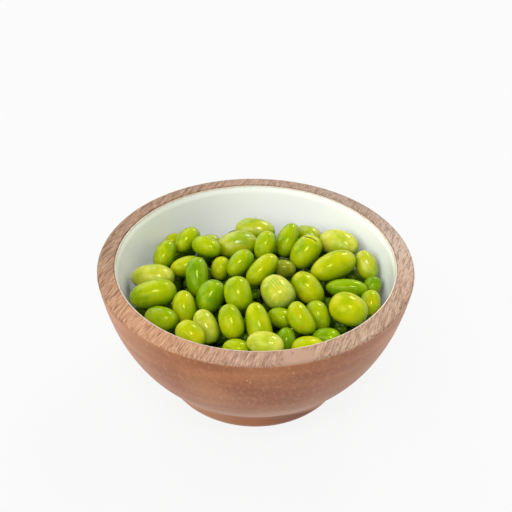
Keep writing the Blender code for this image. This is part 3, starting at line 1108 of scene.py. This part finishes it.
@dataclass
class LooseBeans:
    """The beans on top, each its own piece in place of its CAD node."""

    finishes: dict[Skin, Material]
    seed: int = 11
    usual: tuple[Skin, ...] = (Skin.FRESH, Skin.FRESH, Skin.YELLOW, Skin.DEEP)
    rings: int = 48
    cracked_rings: int = 120
    sides: int = 64

    def build(self) -> list[Piece]:
        """Builds every loose bean.

        Returns:
            The beans.
        """
        draw = np.random.default_rng(self.seed)
        pieces = []
        for node in LOOSE_BEANS:
            own = np.random.default_rng(draw.integers(1 << 30))
            usual = self.usual[own.integers(len(self.usual))]
            look = LOOKS.get(int(node[-2:]), BeanLook(usual))
            rings = self.rings if look.crack_at is None else self.cracked_rings
            bean = Bean(BeanPlace.of_node(node), look, own, rings, self.sides)
            piece = bean_piece(f"edamame_{node[-2:]}", self.finishes[look.skin], [bean])
            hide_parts(node)
            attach(piece, BODY)
            pieces.append(piece)
        return pieces


@dataclass
class GapBeans:
    """Small and broken beans in the gaps under the top beans, so that the heap is full."""

    bowl: WoodenBowl
    others: list[BeanPlace]
    seed: int = 5
    most: int = 130
    step: float = 1.8 * MM
    low: float = 15.0 * MM
    high: float = 35.5 * MM
    skin: float = 1.2 * MM
    least: float = 1.7 * MM
    largest: float = 3.1 * MM
    reach: float = 50.0 * MM
    jitter: float = 0.4
    higher_first: float = 0.05
    shape: Size = (1.12, 0.94, 0.9)

    def room(self, points: Array) -> Array:
        """How far each point is from the nearest bean and from the enamel.

        The distance to a bean is that to its ellipsoid: with the point's coordinates divided by
        the half sizes once and twice, the first length times itself less one, over the second.

        Args:
            points: The points, n by 3.

        Returns:
            The distances, below 0 inside a bean or outside the hollow.
        """
        profile = self.bowl.hollow(200)
        radius = np.hypot(points[:, 0], points[:, 1])
        flat = np.stack([radius, points[:, 2]], axis=1)
        wall = np.linalg.norm(flat[:, None] - profile[None], axis=2).min(axis=1) - self.skin
        inside = radius < np.interp(points[:, 2], profile[::-1, 1], profile[::-1, 0])
        room = np.where(inside, wall, -1.0)
        for place in self.others:
            local = (points - place.middle) @ place.axes / place.half
            once = np.linalg.norm(local, axis=1)
            twice = np.linalg.norm(local / place.half, axis=1) + 1e-9
            room = np.minimum(room, once * (once - 1) / twice)
        return room

    def places(self) -> list[BeanPlace]:
        """Puts bean after bean where there is most room, and a little sooner higher up.

        Returns:
            The places, once no more fit.
        """
        draw = np.random.default_rng(self.seed)
        reach = np.arange(-self.reach, self.reach, self.step)
        levels = np.arange(self.low, self.high, self.step)
        points = np.stack(np.meshgrid(reach, reach, levels, indexing="ij"), axis=-1).reshape(-1, 3)
        points = points + draw.uniform(-self.jitter, self.jitter, points.shape) * self.step
        room = self.room(points)
        points, room = points[room > self.least], room[room > self.least]
        found = []
        while len(found) < self.most and len(room) and room.max() > self.least:
            best = np.argmax(np.minimum(room, self.largest) + self.higher_first * points[:, 2])
            size = min(room[best], self.largest)
            axes = level_axes(draw.uniform(0, math.pi))
            found.append(BeanPlace(points[best], axes, size * np.array(self.shape)))
            room = np.minimum(room, np.linalg.norm(points - points[best], axis=1) - size)
        return found


@dataclass
class LowerBeans:
    """The beans underneath. The frame joins them end to end; here each one is separate."""

    finish: Material
    seed: int = 23
    size: Size = (12.4 * MM, 8.6 * MM, 8.4 * MM)
    smallest: float = 0.9
    sway: float = 0.16
    top_share: float = 0.9765
    rings: int = 9
    sides: int = 12

    def middles(self, node: str) -> tuple[Array, Array, float]:
        """Reads where the beans of a CAD string lie.

        The string is thickest over each bean's middle, so its highest corners come in pairs, set
        across the string, and each middle lies between such a pair.

        Args:
            node: The string's name.

        Returns:
            The middles' x and y, the string's direction at each, and its height.
        """
        points = corners_of(node)
        low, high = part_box(node)
        level = (low.z + high.z) / 2
        top = points[points[:, 2] > level + (high.z - level) * self.top_share][:, :2]
        apart = np.linalg.norm(top[:, None] - top[None], axis=2)
        np.fill_diagonal(apart, np.inf)
        partner = apart.argmin(axis=1)
        once = np.arange(len(top)) < partner
        first, second = top[once], top[partner[once]]
        across = (second - first) / np.linalg.norm(second - first, axis=1)[:, None]
        heading = np.stack([-across[:, 1], across[:, 0]], axis=1)
        return (first + second) / 2, heading, level

    def places(self, node: str) -> list[BeanPlace]:
        """Where the beans of one CAD string lie, each turned and sized a little its own way.

        Args:
            node: The string's name.

        Returns:
            The places.
        """
        middles, heading, level = self.middles(node)
        draw = np.random.default_rng(self.seed + len(middles))
        found = []
        for middle, ahead in zip(middles, heading):
            turn = math.atan2(ahead[1], ahead[0]) + draw.uniform(-self.sway, self.sway)
            half = np.array(self.size) / 2 * draw.uniform(self.smallest, 1.0, 3)
            found.append(BeanPlace(np.array([*middle, level]), level_axes(turn), half))
        return found

    def build(self, node: str, places: list[BeanPlace]) -> Piece:
        """Builds the separate beans of one string.

        Args:
            node: The CAD string that they replace.
            places: Where they lie.

        Returns:
            The piece.
        """
        draw = np.random.default_rng(self.seed + len(places))
        # Painted shade: the beans underneath wear the darker skin.
        look = BeanLook(Skin.BELOW)
        beans = (Bean(place, look, draw, self.rings, self.sides) for place in places)
        piece = bean_piece(node.replace("lower", "edamame_lower"), self.finish, beans)
        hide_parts(node)
        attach(piece, BODY)
        return piece

    def build_all(self, bowl: WoodenBowl, above: list[BeanPlace]) -> list[Piece]:
        """Builds every string, and fills the gaps with small beans, which go with the last.

        Args:
            bowl: The bowl that they lie in.
            above: Where the loose beans lie.

        Returns:
            The pieces.
        """
        nodes = sorted(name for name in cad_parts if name.startswith("lower_"))
        strings = {node: self.places(node) for node in nodes}
        others = above + [place for places in strings.values() for place in places]
        strings[nodes[-1]] += GapBeans(bowl, others).places()
        return [self.build(node, places) for node, places in strings.items()]


# ---------------- the studio


@dataclass(frozen=True)
class Sun:
    """A far, soft light: its strength, the direction it comes from, and its width in degrees."""

    name: str
    strength: float
    coming_from: Size
    width: float

    def build(self) -> None:
        """Adds the light to the scene."""
        light = bpy.data.lights.new(self.name, "SUN")
        light.energy = self.strength
        light.angle = math.radians(self.width)
        lamp = bpy.data.objects.new(self.name, light)
        side = np.array(self.coming_from) / np.linalg.norm(self.coming_from)
        lamp.rotation_euler = (math.acos(side[2]), 0.0, math.atan2(side[0], -side[1]))
        bpy.context.scene.collection.objects.link(lamp)


@dataclass
class Studio:
    """A glowing white board in a pale surround, the camera and six suns.

    The key comes from the front left, two small high suns give the beans their sharp lights, and
    three broad ones fill the shadows.
    """

    board_side: float = 8.0
    surround: float = 0.42
    suns: tuple[Sun, ...] = (
        Sun("soft_key", 1.35, (-0.64, -0.46, 0.61), 45.0),
        Sun("high_front", 1.12, (0.0, -0.37, 0.93), 15.0),
        Sun("high_back", 0.7, (0.33, 0.66, 0.67), 15.0),
        Sun("front_fill", 0.95, (-0.24, -0.77, 0.59), 50.0),
        Sun("back_left_fill", 1.5, (-0.6, 0.6, 0.5), 60.0),
        Sun("right_fill", 1.14, (0.72, 0.45, 0.52), 60.0),
    )
    camera_back: float = 188.9 * MM
    camera_height: float = 189.1 * MM
    look_down: float = 35.59
    roll: float = 0.9
    lens: float = 42.19
    sensor: float = 36.0

    def floor(self) -> None:
        """Lays the board just under the bowl's foot."""
        half = self.board_side / 2
        corners = np.array([[-half, -half, 0], [half, -half, 0], [half, half, 0], [-half, half, 0]])
        board = make_piece("studio_board", corners, [(0, 1, 2, 3)], StudioBoard().build())

    def world(self) -> None:
        """Surrounds the bowl with even pale light."""
        world = bpy.data.worlds.new("pale_surround")
        world.use_nodes = True
        background = world.node_tree.nodes["Background"]
        background.inputs[0].default_value = (1.0, 1.0, 1.0, 1.0)
        background.inputs[1].default_value = self.surround
        bpy.context.scene.world = world

    def camera(self) -> None:
        """Sets the camera in front of the bowl, looking down into it."""
        data = bpy.data.cameras.new("camera")
        data.lens = self.lens
        data.sensor_width = self.sensor
        data.clip_start = 0.01
        camera = bpy.data.objects.new("camera", data)
        camera.location = (0.0, -self.camera_back, self.camera_height)
        camera.rotation_mode = "XYZ"
        camera.rotation_euler = (math.radians(90.0 - self.look_down), 0.0, 0.0)
        camera.rotation_euler.rotate_axis("Z", math.radians(self.roll))
        bpy.context.scene.collection.objects.link(camera)
        bpy.context.scene.camera = camera

    def build(self) -> None:
        """Sets up the board, the lights and the camera."""
        self.floor()
        self.world()
        for sun in self.suns:
            sun.build()
        self.camera()
        bpy.context.scene.view_settings.view_transform = "Standard"


# ---------------- everything together


def main() -> None:
    """Builds the bowl, the enamel and the beans in order, and reports each piece."""
    logging.basicConfig(level=logging.INFO, format="%(name)s: %(message)s")
    _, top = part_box("wooden_bowl")
    bowl = WoodenBowl(rim_radius=top.x, height=top.z)
    pieces = [bowl.build(TurnedMangoWood(height=top.z, rim_radius=top.x).build())]
    coat = EnamelCoat(bowl)
    pieces.append(coat.build(WhiteEnamel(height=top.z - coat.below_rim).build()))
    finishes = {skin: skin.value.build() for skin in Skin}
    pieces += LooseBeans(finishes).build()
    above = [BeanPlace.of_node(node) for node in LOOSE_BEANS]
    pieces += LowerBeans(finishes[Skin.BELOW]).build_all(bowl, above)
    for piece in pieces:
        LOG.info("%s: %d faces", piece.name, len(piece.data.polygons))
    Studio().build()


if __name__ == "__main__":
    main()
